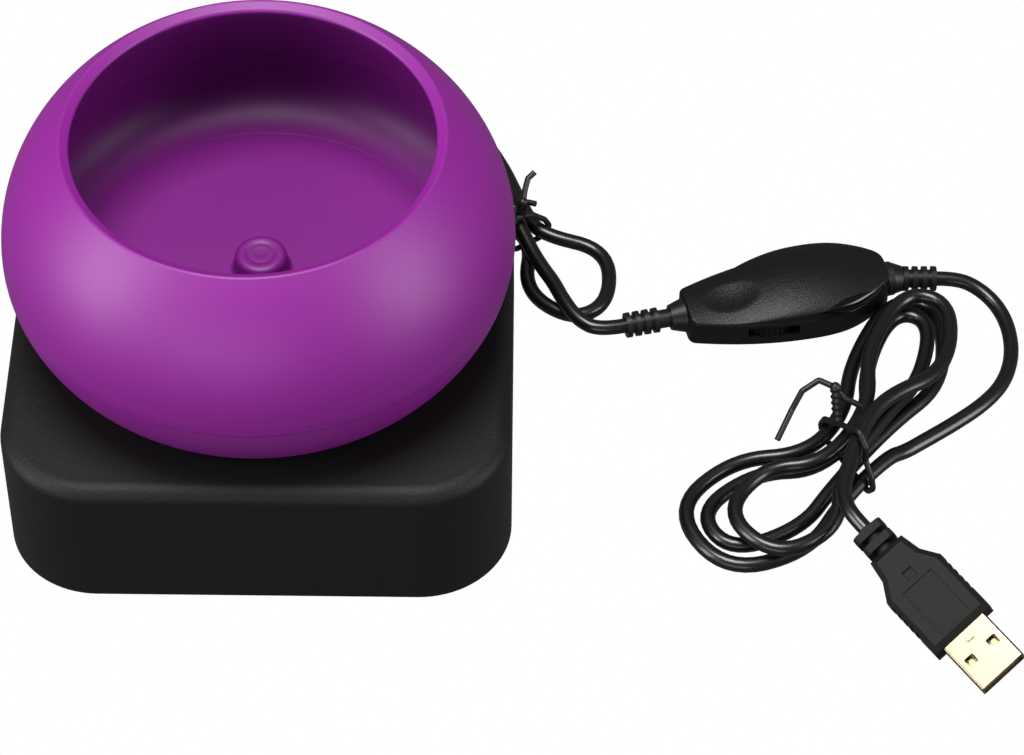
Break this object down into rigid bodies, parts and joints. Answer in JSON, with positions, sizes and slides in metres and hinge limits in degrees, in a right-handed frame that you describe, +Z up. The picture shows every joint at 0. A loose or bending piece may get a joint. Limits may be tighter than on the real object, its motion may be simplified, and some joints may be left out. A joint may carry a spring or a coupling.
{
  "type": "electric bead spinner",
  "caption": "Round-shouldered bowl on a square motor base that spins it, with a cord to an inline thumbwheel speed control and a flat plug, both spare lengths tied in hanks.",
  "frame": {"origin": "centre of the base on the surface that it stands on, under the bowl's axis", "axes": "+Z up along the bowl's axis, +Y towards the cord's gland, +X towards the inline speed control"},
  "size_m": [0.2306, 0.1817, 0.0888],
  "materials": {
    "base_black": "fine satin texture",
    "bowl_purple": "satin gloss",
    "steel": "bright",
    "foot_rubber": "matt",
    "can_steel": "plated",
    "magnet": "matt",
    "white_nylon": "satin",
    "brass": "bright",
    "copper": "lacquered",
    "lead_red": "satin",
    "cord_jacket": "glossy",
    "control_black": "satin",
    "relief_black": "satin",
    "board_green": "lacquered",
    "tie_plastic": "matt",
    "plug_black": "matt",
    "plug_nickel": "plated",
    "tongue_white": "satin"
  },
  "bodies": {
    "base": {"base_housing": "base_black", "bottom_cover": "base_black", "base_screws": "steel", "rubber_feet": "foot_rubber", "motor_can": "can_steel", "motor_magnets": "magnet", "motor_end_cap": "white_nylon", "motor_brushes": "brass", "motor_terminals": "brass", "motor_retainer": "base_black", "retainer_screws": "steel", "motor_leads": "lead_red", "cable_gland": "relief_black", "controller_top": "control_black", "controller_bottom": "control_black", "controller_screws": "steel", "control_board": "board_green", "speed_pot": "can_steel", "relief_left": "relief_black", "relief_right": "relief_black", "plug_overmold": "plug_black", "plug_shell": "plug_nickel", "plug_tongue": "tongue_white", "plug_contacts": "brass", "cord_base_run": "cord_jacket", "hank_short": "cord_jacket", "cord_controller_run": "cord_jacket", "tie_short": "tie_plastic", "cord_outer_run": "cord_jacket", "hank_long": "cord_jacket", "cord_plug_run": "cord_jacket", "tie_long": "tie_plastic"},
    "rotor": {"motor_shaft": "steel", "rotor_core": "steel", "rotor_windings": "copper", "commutator": "copper", "drive_hub": "white_nylon"},
    "bowl": {"bowl_lower": "bowl_purple", "bowl_upper": "bowl_purple"},
    "wheel": {"speed_wheel": "control_black"}
  },
  "joints": [
    {"name": "bowl_spin", "type": "hinge", "parent": "base", "child": "rotor", "pos_m": [0, 0, 0.04], "axis": [0, 0, 1], "continuous": true},
    {"name": "bowl_lift", "type": "slide", "parent": "rotor", "child": "bowl", "axis": [0, 0, 1], "range_m": [0, 0.04]},
    {"name": "speed_turn", "type": "hinge", "parent": "base", "child": "wheel", "pos_m": [0.11552, 0.02595, 0.0049], "axis": [0, 0, 1], "range_deg": [0, 270]}
  ]
}
